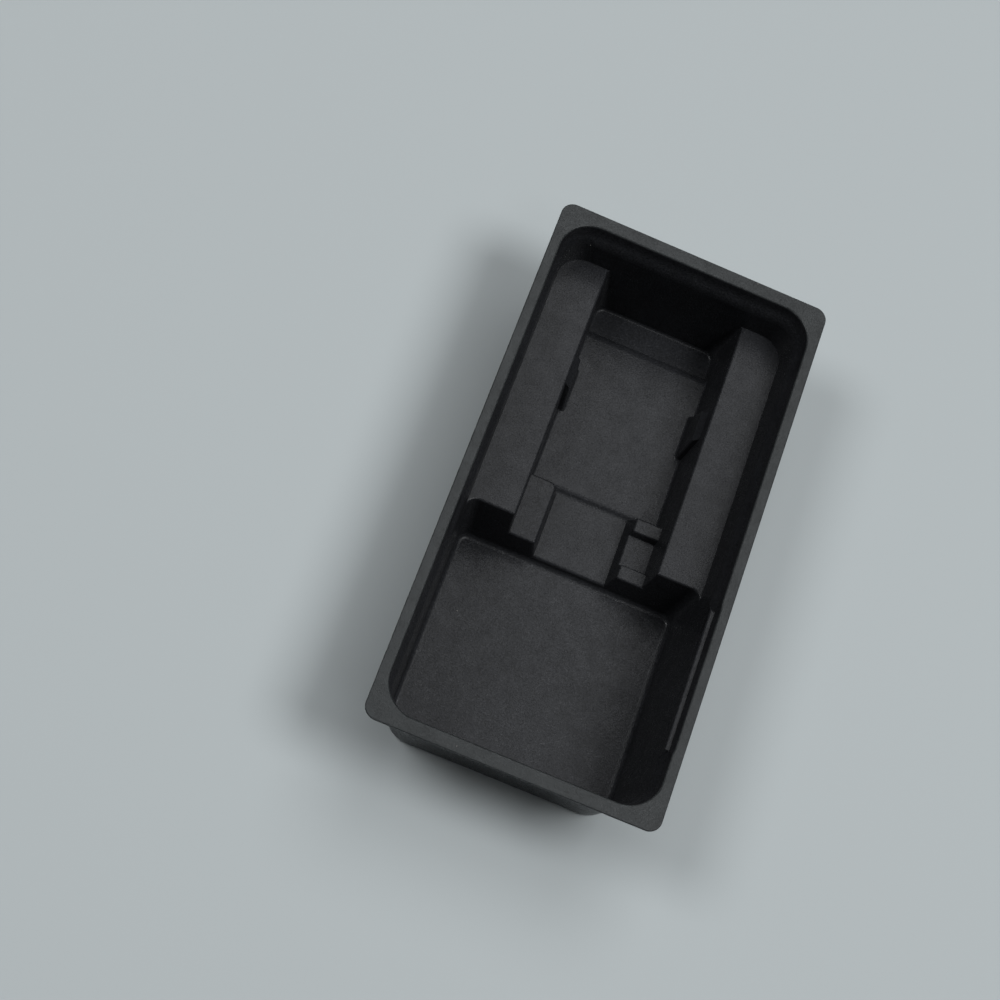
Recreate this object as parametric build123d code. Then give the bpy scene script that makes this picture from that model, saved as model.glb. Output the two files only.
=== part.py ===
from build123d import *
import os
from math import atan2, degrees, radians, sin, tan

# Molded pulp insert tray, one pressed shell with the open side up.
# X runs across, Y along (the wide compartment is at the -Y end), Z is up, the base stands on Z = 0.
# Every depth is measured down from the top of the rim.

# Shell and rim
wall = 1.0
rim_width = 100.0
rim_length = 198.4
rim_corner = 4.5
rim_edge_round = 0.4
side_rim = 3.8
end_rim = 5.0

# Mouth and perimeter wall
mouth_corner = 12.0
mouth_round = 0.7
upper_depth = 4.0
upper_inset = 0.6
shoulder_depth = 7.5
shoulder_inset = 2.4
base_depth = 45.0
side_inset = 6.2
back_inset = 3.4
front_inset = 5.6
well_corner = 9.2
shoulder_round = 8.0

# Rails along both long sides
rail_depth = 19.5
rail_inner = 26.0
rail_draft = 6.0
rail_end = -9.4
end_draft = 6.3

# Pocket floor, end trench and channel floor between the rails
pocket_depth = 40.6
trench_start = 77.6
trench_draft = 22.0
channel_depth = 41.8
channel_start = 15.0
channel_ramp = 1.8

# Snap bumps low on the pocket walls
bump_depth = 25.2
bump_edge_depth = 27.6
bump_reach = 2.2
bump_middle = 52.2
bump_top_length = 11.5
bump_length = 17.5

# Blocks on both sides of the channel
block_depth = 32.7
block_half_gap = 15.2
block_back = 12.9
block_draft = 12.0
block_corner = 2.4
saddle_depth = 35.6
saddle_back = 6.9
saddle_front = -4.8
saddle_slope = 0.8

# Stacking ledge on the +X wall of the compartment
ledge_depth = 4.0
ledge_inner = 44.0
ledge_start = -70.9
ledge_stop = -20.6
ledge_lean = 0.04
ledge_end_lean = 0.8
ledge_recess = 0.4
ledge_blend = 2.4

# Roundings of the pressed pulp
floor_round = 2.0
trench_round = 1.1
pocket_round = 1.0
top_edge_round = 0.8
block_edge_round = 0.75
trench_edge_round = 3.6
lip_round = 1.2
ledge_round = 0.7
ramp_round = 2.5
compartment_corner = 4.0
trench_corner_top = 0.8
trench_corner_base = 5.0

height = base_depth + wall
mouth_x = rim_width / 2 - side_rim
mouth_y = rim_length / 2 - end_rim
far = rim_length
below = base_depth + 10.0


def soften(shape, edges, radius):
    """Round the edges, with a smaller radius where the full one has no room."""
    for share in (1.0, 0.75, 0.5, 0.3) if edges else ():
        try:
            softer = shape.fillet(radius * share, edges)
        except Exception:
            continue
        if softer.is_valid and len(softer.solids()) == 1:
            return softer
    return shape


def level_edges(shape, depth, wanted):
    """Edges lying flat at one depth whose middle passes the test."""
    z = height - depth
    found = []
    for edge in shape.edges():
        box = edge.bounding_box()
        if abs(box.min.Z - z) < 0.02 and abs(box.max.Z - z) < 0.02 and wanted(edge.center()):
            found.append(edge)
    return found


def steep_edges(shape, wanted):
    """Long edges that climb the walls and whose middle passes the test."""
    found = []
    for edge in shape.edges():
        box = edge.bounding_box()
        if box.size.Z > 0.6 * edge.length and edge.length > 2 and wanted(edge.center()):
            found.append(edge)
    return found


def band_edges(shape, depth):
    """Edges of the loop round the mouth that lies about level at one depth."""
    z = height - depth
    return [e for e in shape.edges() if near(e.center().Z, z, 1.2) and e.bounding_box().size.Z < 1.5]


def near(value, target, reach):
    return abs(value - target) < reach


def side_prism(profile):
    """Prism running right across the tray from a profile of (y, depth) points."""
    points = [(0, y, height - depth) for y, depth in profile]
    return extrude(make_face(Polyline(*points, close=True)), 2 * far, dir=(1, 0, 0), both=True)


def end_prism(profile):
    """Prism running right along the tray from a profile of (x, depth) points."""
    points = [(x, 0, height - depth) for x, depth in profile]
    return extrude(make_face(Polyline(*points, close=True)), 2 * far, dir=(0, 1, 0), both=True)


def flared_block(x_range, y_range, top, bottom, flare):
    """Block between two depths; flare is how far each side moves out per mm of depth."""
    drop = bottom - top
    across = [(x_range[0], top), (x_range[1], top),
              (x_range[1] + flare[1] * drop, bottom), (x_range[0] - flare[0] * drop, bottom)]
    along = [(y_range[0], top), (y_range[1], top),
             (y_range[1] + flare[3] * drop, bottom), (y_range[0] - flare[2] * drop, bottom)]
    return end_prism(across) & side_prism(along)


def tapered(depth, inset, grow, drop, step):
    """Slice of the mouth that starts at one depth and draws in by a step over its drop."""
    outline = RectangleRounded(2 * (mouth_x - inset + grow), 2 * (mouth_y - inset + grow),
                               mouth_corner - inset + grow)
    return extrude(Pos(0, 0, height - depth) * outline, drop, dir=(0, 0, -1),
                   taper=degrees(atan2(step, drop)))


def well(grow):
    """The long walls and end walls from the shoulder down to the base."""
    fall = base_depth - shoulder_depth
    lean = [(inset - shoulder_inset) / fall for inset in (side_inset, side_inset, front_inset, back_inset)]
    rise = shoulder_depth - upper_depth / 2
    x = mouth_x - shoulder_inset + grow
    y = mouth_y - shoulder_inset + grow
    body = flared_block((-x - lean[0] * rise, x + lean[1] * rise), (-y - lean[2] * rise, y + lean[3] * rise),
                        upper_depth / 2, base_depth + grow, [-share for share in lean])
    return body.fillet(well_corner + grow, steep_edges(body, lambda c: True))


def perimeter(grow):
    """The whole tray mouth down to the base, before anything stands up in it."""
    shoulder_fall = shoulder_depth - upper_depth
    step = shoulder_inset - upper_inset
    body = tapered(0, 0, grow, upper_depth, upper_inset)
    body = body + tapered(upper_depth, upper_inset, grow, 2 * shoulder_fall, 2 * step)
    body = body + well(grow)
    upper = band_edges(body, upper_depth)
    body = soften(body, upper, shoulder_round + grow)
    body = soften(body, band_edges(body, shoulder_depth), shoulder_round - grow)
    if grow:
        return body
    lift = Pos(0, 0, height) * RectangleRounded(2 * mouth_x, 2 * mouth_y, mouth_corner)
    return body + extrude(lift, far)


def mirrored(side, low, high):
    """Range of x on the wanted side of the tray."""
    return (low, high) if side > 0 else (-high, -low)


def side_flare(side, inner, front=0.0, back=0.0):
    """Flares of a block that joins the long wall and leans towards the middle."""
    return (inner, 0.0, front, back) if side > 0 else (0.0, inner, front, back)


def end_y(depth, grow):
    return rail_end - (depth - rail_depth) * tan(radians(end_draft)) + grow


def end_wedge(grow):
    """Everything behind the sloping wall between the compartment and the rails."""
    return side_prism([(end_y(-5, grow), -5), (far, -5), (far, below), (end_y(below, grow), below)])


def rail(side, grow):
    lean = tan(radians(rail_draft))
    return flared_block(mirrored(side, rail_inner + grow, far), (-far, far), rail_depth + grow,
                        below, side_flare(side, lean))


def deck(grow):
    """Pocket floor and channel floor with the short wall down to the end trench."""
    slope = tan(radians(trench_draft))
    channel = channel_depth + grow
    pocket = pocket_depth + grow
    front = end_y(channel, grow)
    back = trench_start - grow
    body = side_prism([
        (end_y(below, grow), below),
        (front, channel),
        (channel_start - channel_ramp / 2, channel),
        (channel_start + channel_ramp / 2, pocket),
        (back, pocket),
        (back + (below - pocket) * slope, below),
    ])
    body = soften(body, level_edges(body, channel, lambda c: near(c.Y, front, 0.1)), lip_round)
    body = soften(body, level_edges(body, pocket, lambda c: near(c.Y, back, 0.1)), trench_edge_round)
    ramp = [e for e in body.edges() if near(e.center().Y, channel_start, channel_ramp) and e.length > far]
    return soften(body, ramp, ramp_round)


def snap_bump(side, grow):
    """Low bump on the rail wall with a slanting top and sloping ends."""
    lean = tan(radians(rail_draft))
    root = rail_inner - (bump_depth - rail_depth) * lean + grow
    edge = root - bump_reach
    profile = [(far, bump_depth + grow), (root, bump_depth + grow), (edge, bump_edge_depth + grow),
               (edge - (below - bump_edge_depth) * lean, below), (far, below)]
    end_lean = (bump_length - bump_top_length) / 2 / (pocket_depth - bump_depth)
    half = bump_top_length / 2 - grow
    reach = half + (below - bump_depth) * end_lean
    ends = [(bump_middle - half, bump_depth), (bump_middle + half, bump_depth),
            (bump_middle + reach, below), (bump_middle - reach, below)]
    return end_prism([(side * x, depth) for x, depth in profile]) & side_prism(ends)


def plain_block(side, grow):
    lean = tan(radians(block_draft))
    return flared_block(mirrored(side, block_half_gap + grow, far), (-far, block_back - grow),
                        block_depth + grow, below, side_flare(side, lean, 0.0, lean))


def saddle_cut(grow):
    """Air above the low middle of the stepped block."""
    bottom = saddle_depth + grow
    rise = bottom - block_depth
    slope = saddle_slope / (saddle_depth - block_depth)
    top = 5.0
    reach = slope * (rise + top)
    profile = [
        (saddle_back + grow, bottom),
        (saddle_front - grow, bottom),
        (saddle_front - grow - reach, block_depth - top),
        (saddle_back + grow + reach, block_depth - top),
    ]
    return side_prism(profile)


def stepped_block(side, grow):
    return plain_block(side, grow) - saddle_cut(grow)


def stacking_ledge(grow):
    return flared_block((ledge_inner + grow, far), (ledge_start + grow, ledge_stop - grow),
                        ledge_depth + grow, 2 * shoulder_depth,
                        (ledge_lean, 0.0, ledge_end_lean, ledge_end_lean))


def ledge_opening(grow):
    """The mouth bulges out a little above the ledge and runs back into the wall at the ledge."""
    x = mouth_x + grow
    y0 = ledge_start - grow
    y1 = ledge_stop + grow
    outline = Polyline((0, y0 - ledge_blend), (x, y0 - ledge_blend), (x + ledge_recess, y0),
                       (x + ledge_recess, y1), (x, y1 + ledge_blend), (0, y1 + ledge_blend), close=True)
    return extrude(Pos(0, 0, height) * make_face(outline), ledge_depth, dir=(0, 0, -1),
                   taper=degrees(atan2(upper_inset + ledge_recess, ledge_depth)))


def trench_corner_fill(side):
    """Rounds the far corner between a rail and the end wall, wider towards the base."""
    sections = []
    for depth, radius in ((rail_depth, trench_corner_top), (below, trench_corner_base)):
        share = (depth - shoulder_depth) / (base_depth - shoulder_depth)
        x = rail_inner - (depth - rail_depth) * tan(radians(rail_draft))
        y = mouth_y - shoulder_inset - (back_inset - shoulder_inset) * share
        middle = radius * (1 - sin(radians(45)))
        arc = ThreePointArc((x - radius, y), (x - middle, y - middle), (x, y - radius))
        lines = Polyline((x, y - radius), (x + 2, y - radius), (x + 2, y + 2),
                         (x - radius, y + 2), (x - radius, y))
        face = make_face(Curve() + [arc, lines])
        sections.append(Pos(0, 0, height - depth) * face)
    fill = loft(sections, ruled=True)
    return fill if side > 0 else fill.mirror(Plane.YZ)


def raised(grow):
    """Everything that stands up inside the mouth of the tray."""
    body = rail(1, grow) + rail(-1, grow) + deck(grow)
    body = body + plain_block(-1, grow) + stepped_block(1, grow)
    body = body + snap_bump(1, grow) + snap_bump(-1, grow)
    return body & end_wedge(grow)


def air(grow):
    """Open space in the tray; grown by the wall it is the outside of the tray."""
    space = perimeter(grow) + ledge_opening(grow)
    return space - raised(grow) - stacking_ledge(grow)


def soft_corners(space):
    """Tall inside corners beside the rail ends and the tall outside corner of the plain block."""
    corners = steep_edges(space, lambda c: abs(c.X) > rail_inner + 5 and near(c.Y, rail_end, 6))
    space = soften(space, corners, compartment_corner)
    corners = steep_edges(space, lambda c: near(c.X, -block_half_gap, 3) and near(c.Y, block_back, 3))
    return soften(space, corners, block_corner)


def soft_rails(space):
    wall_foot = mouth_x - shoulder_inset - 1.5
    edges = level_edges(space, rail_depth, lambda c: (c.Y < rail_end + 6 and abs(c.X) < wall_foot) or (
        near(abs(c.X), rail_inner, 1.5) and c.Y < mouth_y - 15))
    edges += steep_edges(space, lambda c: near(abs(c.X), rail_inner, 1.5) and near(c.Y, rail_end, 2.5))
    return soften(space, edges, top_edge_round)


def soft_blocks(space):
    inner = rail_inner - 3.5
    tops = level_edges(space, block_depth, lambda c: abs(c.X) < inner)
    sides = steep_edges(space, lambda c: near(c.X, -block_half_gap, 3) and c.Y < rail_end + 3)
    space = soften(space, [e for e in tops if e.center().X < 0] + sides, top_edge_round)
    tops = level_edges(space, block_depth, lambda c: 0 < c.X < inner)
    sides = [e for e in space.edges()
             if near(e.center().X, block_half_gap - 0.6, 1.4) and e.length > 1
             and height - channel_depth + 1 < e.center().Z < height - block_depth - 0.1]
    return soften(space, tops + sides, block_edge_round)


def soft_bumps(space):
    low = bump_middle - bump_length
    high = bump_middle + bump_length
    tops = level_edges(space, bump_edge_depth, lambda c: abs(c.X) < rail_inner - 1 and low < c.Y < high)
    sides = steep_edges(space, lambda c: rail_inner - 6 < abs(c.X) < rail_inner - 2
                        and low < c.Y < high and c.Z < height - bump_depth)
    return soften(space, tops + [e for e in sides if near(abs(e.center().X), rail_inner - 3.4, 0.8)],
                  top_edge_round)


def soft_ledge(space):
    edges = level_edges(space, ledge_depth, lambda c: near(c.X, ledge_inner, 1.3)
                        and ledge_start - 1 < c.Y < ledge_stop + 1)
    return soften(space, edges, ledge_round)


def soft_base(space, grow):
    """Rounded foot of the compartment and of the end trench."""
    base = level_edges(space, base_depth + grow, lambda c: c.Y < rail_end)
    space = soften(space, base, floor_round + grow)
    trench = level_edges(space, base_depth + grow, lambda c: c.Y > rail_end)
    return soften(space, trench, trench_round + grow)


def soft_pocket(space):
    edges = level_edges(space, pocket_depth, lambda c: abs(c.X) > rail_inner - 6)
    return soften(space, edges, pocket_round)


def soft_outside():
    space = air(wall)
    corners = steep_edges(space, lambda c: near(abs(c.X), rail_inner, 4) and c.Y > mouth_y - 10)
    space = soften(space, corners, trench_corner_top + wall)
    return soft_base(space, wall)


def soft_air():
    """The open space with the pressed roundings of the pulp."""
    space = soft_corners(air(0.0))
    space = soft_rails(space)
    space = soft_blocks(space)
    space = soft_bumps(space)
    space = soft_ledge(space)
    space = space - trench_corner_fill(1) - trench_corner_fill(-1)
    space = soft_base(space, 0.0)
    return soft_pocket(space)


def rim():
    plate = extrude(Pos(0, 0, height) * RectangleRounded(rim_width, rim_length, rim_corner), -wall)
    edges = [e for e in plate.edges() if abs(e.center().Z - (height - wall / 2)) > wall / 4]
    return soften(plate, edges, rim_edge_round)


def build():
    shell = rim() + soft_outside() - soft_air()
    mouth = level_edges(shell, 0.0, lambda c: abs(c.X) < mouth_x + 0.6 and abs(c.Y) < mouth_y + 0.6)
    return soften(shell, mouth, mouth_round)


tray = build()
os.makedirs("parts", exist_ok=True)
export_step(tray, "parts/pulp_tray.step")
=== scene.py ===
import math

import bpy
from mathutils import Matrix, Vector


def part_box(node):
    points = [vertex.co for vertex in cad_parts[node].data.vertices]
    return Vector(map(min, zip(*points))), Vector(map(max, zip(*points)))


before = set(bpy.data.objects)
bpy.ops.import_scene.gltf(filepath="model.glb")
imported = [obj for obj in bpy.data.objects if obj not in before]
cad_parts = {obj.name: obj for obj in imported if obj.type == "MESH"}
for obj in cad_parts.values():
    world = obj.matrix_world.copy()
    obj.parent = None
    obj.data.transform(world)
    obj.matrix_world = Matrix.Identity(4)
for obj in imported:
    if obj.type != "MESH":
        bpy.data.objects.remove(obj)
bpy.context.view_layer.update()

# The tray's name in the frame, and the height of its rim in metres, from the top of its box
TRAY = "pulp_tray"
rim_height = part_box(TRAY)[1].z

# The photograph's viewing angle: the point of the rim plane at the middle of the picture and the
# camera's distance from it in metres. Then, in degrees, the camera's direction from +Y towards +X,
# its height above the rim plane and its roll.
AIM = Vector((-0.0338, -0.0150, rim_height))
DISTANCE = 0.6551
AZIMUTH = 188.74
ELEVATION = 66.44
ROLL = 30.69

# The lens and its sensor in millimetres, and the nearest distance that it sees in metres
LENS = 72.6
SENSOR = 36.0
NEAREST = 0.01

# The soft lamps: name, direction from +Y towards +X and height in degrees, distance and width in
# metres, and share of the light. The shares add up to 1, at which the floor renders a little under
# its written tone.
SOFTBOXES = (
    ("right_softbox", 92.0, 63.0, 2.6, 1.10, 0.44),
    ("left_softbox", 268.0, 57.0, 2.6, 1.00, 0.26),
    ("front_softbox", 144.0, 63.0, 2.6, 0.80, 0.05),
    ("back_softbox", 6.0, 61.0, 2.6, 1.70, 0.25),
)

# Tones, as linear colours
FLOOR_TONE = (0.468, 0.511, 0.525, 1.0)
PULP_TONE = (0.0170, 0.0180, 0.0204, 1.0)
# The rim's paler tone is painted light, for the light that its open face catches
PAINTED_LIGHT_RIM_TONE = (0.0295, 0.0328, 0.0340, 1.0)
FIBRE_TONE = (0.034, 0.035, 0.037, 1.0)
SPECK_TONE = (0.30, 0.29, 0.27, 1.0)

# The floor: its width, the distances from the tray's middle at which it starts to fade into the
# backdrop and has faded, all in metres, and its roughness
FLOOR_WIDTH = 6.0
FADE_START = 0.35
FADE_END = 0.9
FLOOR_ROUGHNESS = 0.9

# Patterns of the pulp, in repeats to the metre. The fibres have one number each for their length,
# width and thickness.
PATCHES = 28.0
CLOUDS = 150.0
GRAIN = 1700.0
FIBRES = (420.0, 4200.0, 2100.0)
SPECKS = 170.0

# How the fibres lie: their tilts in radians, and their turns about the upright in degrees
FIBRE_TILTS = (0.4, 0.3)
FIBRE_TURNS = (12.0, 71.0, 134.0)

# The range that a soft pattern keeps to, and the part of it in which a fibre comes up
PATTERN_RANGE = (0.3, 0.7)
FIBRE_EDGE = (0.60, 0.72)

# A speck's edge, in cell widths from the middle of its cell, and the edge of the random draw above
# which a cell has a speck
SPECK_EDGE = (0.034, 0.022)
SPECK_DRAW = (0.68, 0.70)

# How far the patterns change the tone, as shares of it, and the share of the fibres' own tone
PATCH_DEPTH = 0.07
CLOUD_DEPTH = 0.18
BODY_GRAIN_DEPTH = 0.40
RIM_GRAIN_DEPTH = 0.25
FIBRE_SHARE = 0.32

# The depths below the rim's face at which its paler tone, which is painted light, starts and is
# full, in metres
PAINTED_RIM_LIGHT_EDGE = (0.0006, 0.0001)

# Gloss of the pressed surface, and how far clouds and grain each change its roughness
PULP_ROUGHNESS = 0.30
ROUGHNESS_SWING = 0.05
PULP_GLOSS = 0.166
GLOSS_TINT = (0.96, 0.98, 1.0, 1.0)

# The height of the grain in metres, and the share of it by which fibres stand up
GRAIN_HEIGHT = 0.00005
FIBRE_RELIEF = 0.25

# The places of a mix node's colour sockets
FIRST_COLOUR = 6
SECOND_COLOUR = 7
MIXED_COLOUR = 2


def direction(azimuth, elevation):
    """The direction of an azimuth, from +Y towards +X, and a height above the floor, in degrees."""
    azimuth = math.radians(azimuth)
    elevation = math.radians(elevation)
    return Vector((
        math.sin(azimuth) * math.cos(elevation),
        math.cos(azimuth) * math.cos(elevation),
        math.sin(elevation),
    ))


def facing(name, data, target, towards, distance, roll=0.0):
    """Stands a camera or a lamp away from a point, looking back at it. Roll is in degrees."""
    holder = bpy.data.objects.new(name, data)
    turn = towards.to_track_quat("Z", "Y").to_matrix() @ Matrix.Rotation(math.radians(roll), 3, "Z")
    holder.matrix_world = Matrix.Translation(target + towards * distance) @ turn.to_4x4()
    bpy.context.scene.collection.objects.link(holder)
    return holder


def camera():
    """Stands the camera at the photograph's viewing angle."""
    data = bpy.data.cameras.new("camera")
    data.lens = LENS
    data.sensor_width = SENSOR
    data.clip_start = NEAREST
    viewer = facing("camera", data, AIM, direction(AZIMUTH, ELEVATION), DISTANCE, ROLL)
    bpy.context.scene.camera = viewer


def material(name):
    """A new material, with its node tree and its principled shader."""
    made = bpy.data.materials.new(name)
    made.use_nodes = True
    tree = made.node_tree
    return made, tree, tree.nodes["Principled BSDF"]


def noise(tree, place, scale, detail, fineness=0.5):
    """A soft pattern that keeps to about PATTERN_RANGE. Fineness is the strength of finer layers."""
    pattern = tree.nodes.new("ShaderNodeTexNoise")
    pattern.inputs["Scale"].default_value = scale
    pattern.inputs["Detail"].default_value = detail
    pattern.inputs["Roughness"].default_value = fineness
    tree.links.new(place, pattern.inputs["Vector"])
    return pattern.outputs["Fac"]


def spread(tree, value, old_range, new_range=(0.0, 1.0)):
    """Stretches a value from the old range to the new one, and holds it there."""
    stretch = tree.nodes.new("ShaderNodeMapRange")
    ends = ("From Min", "From Max", "To Min", "To Max")
    for end, number in zip(ends, old_range + new_range):
        stretch.inputs[end].default_value = number
    tree.links.new(value, stretch.inputs["Value"])
    return stretch.outputs["Result"]


def joined(tree, operation, first, second):
    """Two values put together by a sum, a product, the higher of both and so on."""
    both = tree.nodes.new("ShaderNodeMath")
    both.operation = operation
    tree.links.new(first, both.inputs[0])
    tree.links.new(second, both.inputs[1])
    return both.outputs["Value"]


def blended(tree, share, first, second):
    """A tone that turns from the first to the second by a share. Each is a colour or an output."""
    mix = tree.nodes.new("ShaderNodeMix")
    mix.data_type = "RGBA"
    tree.links.new(share, mix.inputs["Factor"])
    for socket, tone in ((FIRST_COLOUR, first), (SECOND_COLOUR, second)):
        if isinstance(tone, tuple):
            mix.inputs[socket].default_value = tone
        else:
            tree.links.new(tone, mix.inputs[socket])
    return mix.outputs[MIXED_COLOUR]


def mottled(tree, tone, pattern, depth):
    """A tone made lighter and darker by a soft pattern. Depth is the largest change, as a share."""
    strength = spread(tree, pattern, PATTERN_RANGE, (1.0 - depth, 1.0 + depth))
    product = tree.nodes.new("ShaderNodeVectorMath")
    product.operation = "SCALE"
    tree.links.new(tone, product.inputs["Vector"])
    tree.links.new(strength, product.inputs["Scale"])
    return product.outputs["Vector"]


def fibres(tree, place):
    """Short fibres pressed nearly flat in several directions, 0 to 1."""
    strands = None
    for turn in FIBRE_TURNS:
        laid = tree.nodes.new("ShaderNodeMapping")
        laid.vector_type = "TEXTURE"
        laid.inputs["Rotation"].default_value = FIBRE_TILTS + (math.radians(turn),)
        laid.inputs["Scale"].default_value = tuple(1.0 / repeats for repeats in FIBRES)
        tree.links.new(place, laid.inputs["Vector"])
        strand = spread(tree, noise(tree, laid.outputs["Vector"], scale=1.0, detail=1.0), FIBRE_EDGE)
        strands = strand if strands is None else joined(tree, "MAXIMUM", strands, strand)
    return strands


def specks(tree, place):
    """A few pale specks, about a third of a millimetre across and far apart, 0 to 1."""
    cells = tree.nodes.new("ShaderNodeTexVoronoi")
    cells.inputs["Scale"].default_value = SPECKS
    tree.links.new(place, cells.inputs["Vector"])
    dots = spread(tree, cells.outputs["Distance"], SPECK_EDGE)
    parts = tree.nodes.new("ShaderNodeSeparateColor")
    tree.links.new(cells.outputs["Color"], parts.inputs["Color"])
    chosen = spread(tree, parts.outputs["Red"], SPECK_DRAW)
    return joined(tree, "MULTIPLY", dots, chosen)


def grained(tree, tone, strands, grain, depth):
    """A tone with fibres in it, made lighter and darker by the grain."""
    fibre_share = spread(tree, strands, (0.0, 1.0), (0.0, FIBRE_SHARE))
    return mottled(tree, blended(tree, fibre_share, tone, FIBRE_TONE), grain, depth)


def painted_rim_light_mask(tree, place):
    """1 on the face of the rim and 0 below it: where the paler tone of painted light goes."""
    parts = tree.nodes.new("ShaderNodeSeparateXYZ")
    tree.links.new(place, parts.inputs["Vector"])
    heights = tuple(rim_height - depth for depth in PAINTED_RIM_LIGHT_EDGE)
    return spread(tree, parts.outputs["Z"], heights)


def pulp_tone(tree, place, clouds, grain, strands):
    """Near black, with painted light on the rim as a paler tone, and with fibres, grain, clouds,
    wide patches and pale specks.
    """
    body_tone = grained(tree, PULP_TONE, strands, grain, BODY_GRAIN_DEPTH)
    painted_light_rim_tone = grained(tree, PAINTED_LIGHT_RIM_TONE, strands, grain, RIM_GRAIN_DEPTH)
    # Painted light: the face of the rim takes the paler tone
    tone = blended(tree, painted_rim_light_mask(tree, place), body_tone, painted_light_rim_tone)
    tone = mottled(tree, tone, noise(tree, place, PATCHES, detail=1.0), PATCH_DEPTH)
    tone = mottled(tree, tone, clouds, CLOUD_DEPTH)
    return blended(tree, specks(tree, place), tone, SPECK_TONE)


def pulp_roughness(tree, clouds, grain):
    """A little smoother where clouds and grain are high."""
    cloudy = spread(tree, clouds, PATTERN_RANGE, (ROUGHNESS_SWING, -ROUGHNESS_SWING))
    around = (PULP_ROUGHNESS + ROUGHNESS_SWING, PULP_ROUGHNESS - ROUGHNESS_SWING)
    grainy = spread(tree, grain, PATTERN_RANGE, around)
    return joined(tree, "ADD", cloudy, grainy)


def pulp_relief(tree, grain, strands):
    """The fine relief of grain and raised fibres."""
    relief = tree.nodes.new("ShaderNodeBump")
    relief.inputs["Strength"].default_value = 1.0
    relief.inputs["Distance"].default_value = GRAIN_HEIGHT
    raised = spread(tree, strands, (0.0, 1.0), (0.0, FIBRE_RELIEF))
    tree.links.new(joined(tree, "ADD", grain, raised), relief.inputs["Height"])
    return relief.outputs["Normal"]


def pulp_material():
    """Pressed black pulp."""
    made, tree, shader = material("black_pulp")
    place = tree.nodes.new("ShaderNodeTexCoord").outputs["Object"]
    clouds = noise(tree, place, CLOUDS, detail=4.0, fineness=0.72)
    grain = noise(tree, place, GRAIN, detail=1.0, fineness=0.6)
    strands = fibres(tree, place)
    tree.links.new(pulp_tone(tree, place, clouds, grain, strands), shader.inputs["Base Color"])
    tree.links.new(pulp_roughness(tree, clouds, grain), shader.inputs["Roughness"])
    tree.links.new(pulp_relief(tree, grain, strands), shader.inputs["Normal"])
    shader.inputs["Specular IOR Level"].default_value = PULP_GLOSS
    shader.inputs["Specular Tint"].default_value = GLOSS_TINT
    return made


def tray_finish():
    """Gives the tray its one material."""
    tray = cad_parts[TRAY]
    tray.data.materials.clear()
    tray.data.materials.append(pulp_material())


def floor():
    """The pale floor under the tray. Away from the tray it fades into the tone of the backdrop."""
    bpy.ops.mesh.primitive_plane_add(size=FLOOR_WIDTH, location=(0, 0, 0))
    plane = bpy.context.object
    plane.name = "floor"
    made, tree, shader = material("floor_paper")
    shader.inputs["Base Color"].default_value = FLOOR_TONE
    shader.inputs["Roughness"].default_value = FLOOR_ROUGHNESS
    shader.inputs["Specular IOR Level"].default_value = 0.0
    away = tree.nodes.new("ShaderNodeVectorMath")
    away.operation = "LENGTH"
    tree.links.new(tree.nodes.new("ShaderNodeTexCoord").outputs["Object"], away.inputs["Vector"])
    fade = spread(tree, away.outputs["Value"], (FADE_START, FADE_END))
    seen = tree.nodes.new("ShaderNodeLightPath").outputs["Is Camera Ray"]
    glow = tree.nodes.new("ShaderNodeEmission")
    glow.inputs["Color"].default_value = FLOOR_TONE
    # Paper near the tray, and a plain glow of the same tone where the camera sees it far away
    mix = tree.nodes.new("ShaderNodeMixShader")
    tree.links.new(joined(tree, "MULTIPLY", fade, seen), mix.inputs["Fac"])
    tree.links.new(shader.outputs["BSDF"], mix.inputs[1])
    tree.links.new(glow.outputs["Emission"], mix.inputs[2])
    tree.links.new(mix.outputs["Shader"], tree.nodes["Material Output"].inputs["Surface"])
    plane.data.materials.append(made)


def backdrop():
    """The plain tone behind the floor, which gives no light."""
    world = bpy.data.worlds.new("backdrop")
    world.use_nodes = True
    tree = world.node_tree
    tree.nodes["Background"].inputs["Color"].default_value = FLOOR_TONE
    seen = tree.nodes.new("ShaderNodeLightPath").outputs["Is Camera Ray"]
    tree.links.new(seen, tree.nodes["Background"].inputs["Strength"])
    bpy.context.scene.world = world


def softbox(name, azimuth, elevation, distance, size, level):
    """A round soft lamp that faces the tray. Level is its share of the light on the floor."""
    data = bpy.data.lights.new(name, "AREA")
    data.shape = "DISK"
    data.size = size
    # The power at which a white floor, by this lamp alone, is about as bright as the level
    data.energy = level * math.pi ** 2 * distance ** 2 / math.sin(math.radians(elevation))
    facing(name, data, Vector((0.0, 0.0, 0.0)), direction(azimuth, elevation), distance)


def light():
    """Two softboxes beside the tray, a weaker one in front and a wide one behind it."""
    for lamp in SOFTBOXES:
        softbox(*lamp)


camera()
bpy.ops.object.select_all(action="DESELECT")
floor()
backdrop()
light()
tray_finish()
bpy.context.scene.view_settings.view_transform = "Standard"
